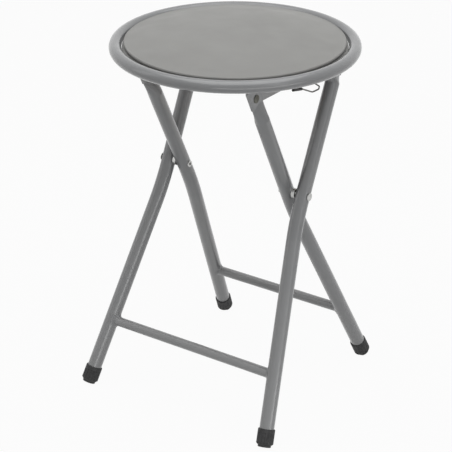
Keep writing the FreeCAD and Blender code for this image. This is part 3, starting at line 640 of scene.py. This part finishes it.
# The weld on the front stretcher's left end is the fattest
for kind, fillets in (("outer", {1: 2.4 * MM, -1: 4.2 * MM}), ("inner", {1: 2.8 * MM, -1: 3.0 * MM})):
    for sign, fillet in fillets.items():
        leg = "%s_leg_%s" % (kind, "right" if sign > 0 else "left")
        stretcher_weld(kind + "_stretcher", leg, sign, fillet, kind + "_frame")


# The hinge spacers begin at the rails' outer faces
RAIL_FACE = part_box("hinge_spacer_right")[0].x


def rail_weld(name, sign_x, sign_y):
    """A short bead where a rail's outer face meets the ring."""
    rings = []
    steps = 28
    z_top = cover_low.z - 0.4 * MM
    z_low = ring_low.z + 0.25 * MM
    for i in range(steps + 1):
        share = i / steps
        z = z_top + (z_low - z_top) * share
        across = math.sqrt(max(0.0, TUBE ** 2 - (z - RING_Z) ** 2))
        y = math.sqrt((RING - across) ** 2 - RAIL_FACE ** 2)
        seam = Vector((RAIL_FACE, y, z))
        tube_middle = Vector((RAIL_FACE, y, 0)).normalized() * RING
        normal = (seam - Vector((tube_middle.x, tube_middle.y, RING_Z))).normalized()
        size = 1.9 * MM * (math.sin(math.pi * min(1, max(0, share * 0.9 + 0.05))) ** 0.35)
        size *= 1 + 0.14 * math.sin(26 * share) + 0.15 * noise.noise(Vector((share * 5, sign_x, sign_y)))
        face = Vector((1, 0, 0))
        along_ring = (face - normal * face.dot(normal)).normalized()
        along_rail = (normal - face * normal.dot(face)).normalized()
        foot = seam + along_ring * size - normal * 0.2 * MM
        heel = seam + along_rail * size - face * 0.1 * MM
        middle = seam + (along_ring + along_rail) * size * 0.42
        ring = [foot, foot.lerp(middle, 0.5) + face * size * 0.08, middle, middle.lerp(heel, 0.5), heel]
        rings.append([Vector((p.x * sign_x, p.y * sign_y, p.z)) for p in ring])
    bead(name, rings, False, "seat")


for sign_x, side in ((1, "right"), (-1, "left")):
    for sign_y, end in ((1, "back"), (-1, "front")):
        rail_weld("weld_rail_%s_%s" % (side, end), sign_x, sign_y)


# Camera, lights and stage

# The camera looks from the front right, from above, at the stool's middle
AZIMUTH = math.radians(35.014)
ELEVATION = math.radians(25.212)
DISTANCE = 2.15802
TARGET = Vector((-0.00291, -0.01480, 0.21279))
LENS = 138.788


def camera():
    """The photographed view, taken with a long lens."""
    data = bpy.data.cameras.new("camera")
    data.sensor_width = 36
    data.lens = LENS
    obj = new_object("camera", data)
    away = Vector((
        math.sin(AZIMUTH) * math.cos(ELEVATION),
        -math.cos(AZIMUTH) * math.cos(ELEVATION),
        math.sin(ELEVATION)))
    obj.location = TARGET + away * DISTANCE
    obj.rotation_euler = (-away).to_track_quat("-Z", "Y").to_euler()
    bpy.context.scene.camera = obj


def area_light(name, place, aim, width, height, watts):
    """A soft box at a place, aimed at a point."""
    data = bpy.data.lights.new(name, "AREA")
    data.shape = "RECTANGLE"
    data.size = width
    data.size_y = height
    data.energy = watts
    obj = new_object(name, data)
    obj.location = place
    obj.rotation_euler = (Vector(aim) - Vector(place)).to_track_quat("-Z", "Y").to_euler()
    return obj


def background_share(tree, share):
    """How much of the plain white background a ray sees: camera, mirror and glass rays see it."""
    path = tree.nodes.new("ShaderNodeLightPath")
    value = path.outputs["Is Camera Ray"]
    for ray in ("Is Glossy Ray", "Is Transmission Ray"):
        either = tree.nodes.new("ShaderNodeMath")
        either.operation = "MAXIMUM"
        tree.links.new(value, either.inputs[0])
        tree.links.new(path.outputs[ray], either.inputs[1])
        value = either.outputs[0]
    scaled = tree.nodes.new("ShaderNodeMath")
    scaled.operation = "MULTIPLY"
    scaled.inputs[1].default_value = share
    tree.links.new(value, scaled.inputs[0])
    return scaled.outputs[0]


WORLD_STRENGTH = 0.12


def world():
    """Weak light from all round, behind a plain white background."""
    data = bpy.data.worlds.new("studio")
    data.use_nodes = True
    tree = data.node_tree
    tree.nodes.clear()
    output = tree.nodes.new("ShaderNodeOutputWorld")
    mix = tree.nodes.new("ShaderNodeMixShader")
    for entry, strength in ((1, WORLD_STRENGTH), (2, 1.0)):
        background = tree.nodes.new("ShaderNodeBackground")
        background.inputs["Color"].default_value = (1, 1, 1, 1)
        background.inputs["Strength"].default_value = strength
        tree.links.new(background.outputs[0], mix.inputs[entry])
    tree.links.new(background_share(tree, 1.0), mix.inputs["Fac"])
    tree.links.new(mix.outputs[0], output.inputs["Surface"])
    bpy.context.scene.world = data


FLOOR_HALF = 6.0
FLOOR_GREY = 0.55
FLOOR_WHITE = 0.955


def floor():
    """A white floor, which keeps the stool's soft shadow."""
    corners = [(x * FLOOR_HALF, y * FLOOR_HALF, 0) for x, y in ((-1, -1), (1, -1), (1, 1), (-1, 1))]
    obj = mesh_object("floor", corners, [(0, 1, 2, 3)], smooth=False)
    material = bpy.data.materials.new("white_floor")
    material.use_nodes = True
    tree = material.node_tree
    diffuse = tree.nodes["Principled BSDF"]
    diffuse.inputs["Base Color"].default_value = (FLOOR_GREY, FLOOR_GREY, FLOOR_GREY, 1)
    diffuse.inputs["Roughness"].default_value = 0.9
    diffuse.inputs["Specular IOR Level"].default_value = 0.0
    output = tree.nodes["Material Output"]
    white = tree.nodes.new("ShaderNodeEmission")
    white.inputs["Color"].default_value = (1, 1, 1, 1)
    mix = tree.nodes.new("ShaderNodeMixShader")
    tree.links.new(background_share(tree, FLOOR_WHITE), mix.inputs["Fac"])
    tree.links.new(diffuse.outputs[0], mix.inputs[1])
    tree.links.new(white.outputs[0], mix.inputs[2])
    tree.links.new(mix.outputs[0], output.inputs["Surface"])
    obj.data.materials.append(material)


camera()
world()
floor()
area_light("top_light", (0.1, -0.1, 2.4), (0, 0, 0.4), 2.4, 2.4, 37)
area_light("left_light", (-1.9, -1.3, 1.3), (0, 0, 0.3), 0.7, 1.8, 3.2)
area_light("right_light", (2.0, -0.6, 1.2), (0, 0, 0.3), 0.6, 1.8, 2.5)
low_light = area_light("low_light", (1.15, -0.8, 0.1), (0, 0, 0.4), 2.2, 0.26, 5.0)
low_light.visible_camera = False
bpy.context.scene.view_settings.view_transform = "Standard"
